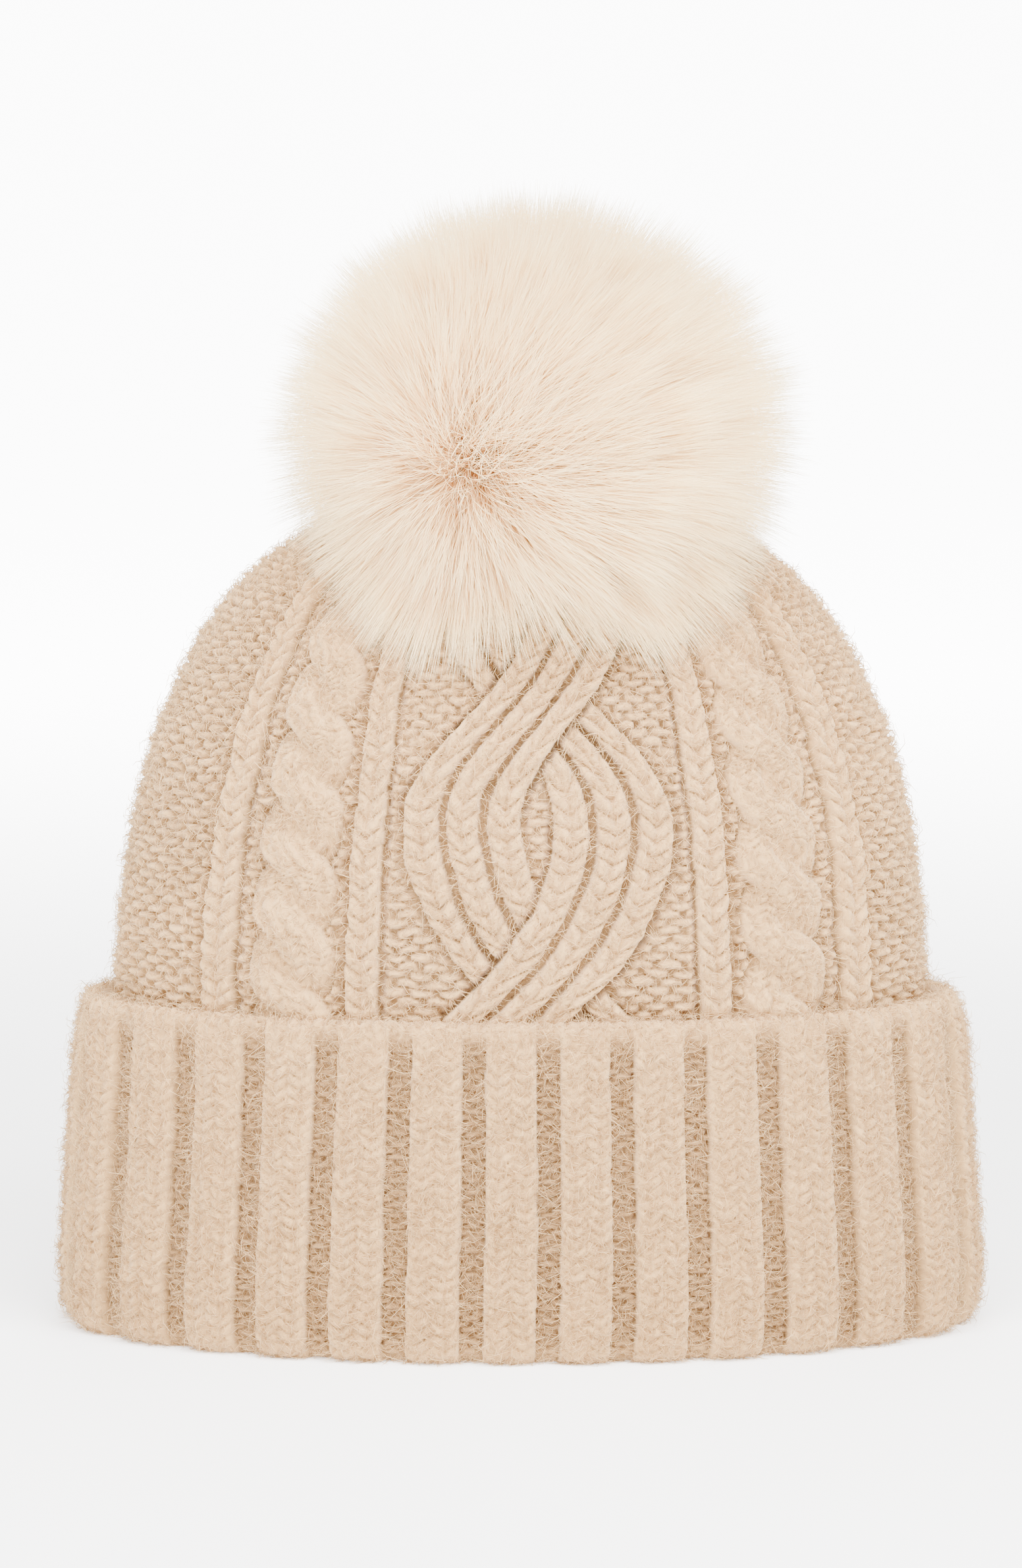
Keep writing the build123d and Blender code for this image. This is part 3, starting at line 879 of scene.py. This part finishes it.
def build_fur():
    """The long pile: tapered fibres in loose locks, rooted in the backing and lying over the crown."""
    count = PILE_STRANDS
    steps = 7
    out = unit(RNG.normal(size=(count * 2, 3)))
    out = out[out[:, 2] > -0.86][:count]
    count = len(out)
    locks = unit(RNG.normal(size=(1500, 3)))
    nearest = np.concatenate([np.argmax(part @ locks.T, axis=1) for part in np.array_split(out, 40)])
    lock_out = locks[nearest]
    lock_bend = RNG.normal(scale=1.0, size=(1500, 3))[nearest]
    lock_length = RNG.uniform(0.93, 1.02, 1500)[nearest]
    draw = RNG.uniform(0.15, 0.75, 1500)[nearest][:, None]
    lean = unit(out * (1 - 0.6 * draw) + lock_out * 0.6 * draw + RNG.normal(scale=0.035, size=out.shape))
    aim, near_eye = parted(lean)
    full = envelope(aim) * lock_length
    short = RNG.random(count)
    share = np.where(short < 0.30, RNG.uniform(0.62, 0.88, count), RNG.uniform(0.90, 1.0, count))
    share = np.where(short > 0.985, RNG.uniform(1.0, 1.05, count), share)
    length = (SKIN_RADIUS - 0.6) + (full - SKIN_RADIUS) * share * (1.0 - 0.10 * near_eye)
    root = SKIN_CENTRE + (SKIN_RADIUS - 0.6) * out
    tip = SKIN_CENTRE + length[:, None] * aim
    tip[:, 2] -= 3.0 * smooth(0.2, -0.6, aim[:, 2]) + RNG.uniform(0, 1.5, count)
    reach = np.linalg.norm(tip - root, axis=1)[:, None]
    middle = root + 0.5 * reach * unit(0.65 * out + 0.35 * aim)
    t = np.linspace(0, 1, steps)[None, :, None]
    lines = (1 - t) ** 2 * root[:, None] + 2 * t * (1 - t) * middle[:, None] + t**2 * tip[:, None]
    sway = unit(np.cross(aim, lock_bend))[:, None] * 3.0 + RNG.normal(scale=0.9, size=(count, 1, 3))
    lines = lines + sway * t**2 * (1.0 + 0.5 * np.sin(4.0 * t + 6.0 * short[:, None, None]))
    lines = over_crown(lines, RNG.uniform(0.3, 7.0, (count, 1)))
    lines[:, 1:-1] = 0.5 * lines[:, 1:-1] + 0.25 * (lines[:, :-2] + lines[:, 2:])
    thickness = RNG.uniform(0.75, 1.25, (count, 1))
    widths = thickness * np.array([0.18, 0.19, 0.19, 0.17, 0.14, 0.10, 0.02])[None, :]
    along = np.broadcast_to(np.linspace(0, 1, steps)[None, :], (count, steps))
    shade = np.repeat(0.6 * RNG.random((count, 1)) + 0.4 * RNG.random(1500)[nearest][:, None], steps, axis=1)
    piece = ribbons("pom_pile", lines, widths, {"along": along, "shade": shade})
    dress(piece, fur, "pom", "fur_pile", "pom_fur")


build_fur()


# ---------------------------------------------------------------- floor, light and camera


def build_stage():
    """A pale floor that runs out of sight, and a pale even world."""
    n = Nodes("paper")
    paper = n.add("BsdfDiffuse")
    grain = n.ramp(n.noise(6.0, 2.0), [(0.3, (0.90, 0.90, 0.90)), (0.7, (0.92, 0.92, 0.92))])
    n.link(grain, paper.inputs["Color"])
    place = n.add("TexCoord")
    away = n.add("VectorMath", operation="LENGTH")
    n.link(place.outputs["Object"], away.inputs[0])
    ends = {"From Min": 0.30, "From Max": 1.3, "To Min": 0.75, "To Max": 10.0}
    far = n.add("MapRange", ends, interpolation_type="SMOOTHSTEP")
    n.link(away.outputs["Value"], far.inputs["Value"])
    glow = n.add("Emission", {"Color": (1, 1, 1, 1)})
    n.link(far.outputs["Result"], glow.inputs["Strength"])
    both = n.add("AddShader")
    n.link(paper.outputs["BSDF"], both.inputs[0])
    n.link(glow.outputs["Emission"], both.inputs[1])
    n.link(both.outputs["Shader"], n.out.inputs["Surface"])
    turn = np.arange(64) / 64 * 2 * math.pi
    rings = np.array([0.02, 120.0, 400.0, 1500.0, 6000.0, 40000.0])
    points = rings[:, None, None] * np.stack([np.cos(turn), np.sin(turn), 0 * turn], -1)[None]
    floor = grid_mesh("floor", points, close_rows=False)
    floor.data.materials.append(n.material)
    world = bpy.data.worlds.new("studio")
    bpy.context.scene.world = world
    world.use_nodes = True
    world.node_tree.nodes["Background"].inputs["Color"].default_value = (1.0, 1.0, 1.0, 1.0)
    world.node_tree.nodes["Background"].inputs["Strength"].default_value = 1.7


def area_light(name, place, aim, size, power):
    """A soft rectangular lamp at a place in metres, aimed at a point."""
    data = bpy.data.lights.new(name, "AREA")
    data.shape = "RECTANGLE"
    data.size, data.size_y = size
    data.energy = power
    lamp = bpy.data.objects.new(name, data)
    bpy.context.scene.collection.objects.link(lamp)
    lamp.location = place
    lamp.rotation_mode = "QUATERNION"
    lamp.rotation_quaternion = (lamp.location - Vector(aim)).to_track_quat("Z", "Y")


def build_camera():
    """A long lens at the front, nine degrees above level."""
    data = bpy.data.cameras.new("camera")
    camera = bpy.data.objects.new("camera", data)
    bpy.context.scene.collection.objects.link(camera)
    elevation, distance = math.radians(9.0), 1.5
    target = Vector((-0.0024, 0.0, 0.142))
    back = Vector((0.0, -math.cos(elevation), math.sin(elevation)))
    camera.location = target + back * distance
    camera.rotation_mode = "QUATERNION"
    camera.rotation_quaternion = (-back).to_track_quat("-Z", "Y")
    data.lens = 133.0
    data.clip_start, data.clip_end = 0.05, 100.0
    bpy.context.scene.camera = camera


build_stage()
area_light("key", (0.75, -0.8, 1.35), (0.0, 0.0, 0.12), (0.9, 0.9), 70.0)
area_light("fill", (-1.1, -1.2, 0.7), (0.0, 0.0, 0.12), (1.2, 1.2), 22.0)
area_light("top", (-0.1, -0.42, 0.72), (0.0, 0.0, 0.25), (0.5, 0.4), 17.0)
area_light("rim", (0.1, 1.2, 1.1), (0.0, 0.0, 0.15), (1.0, 0.8), 20.0)
build_camera()

bpy.context.view_layer.update()
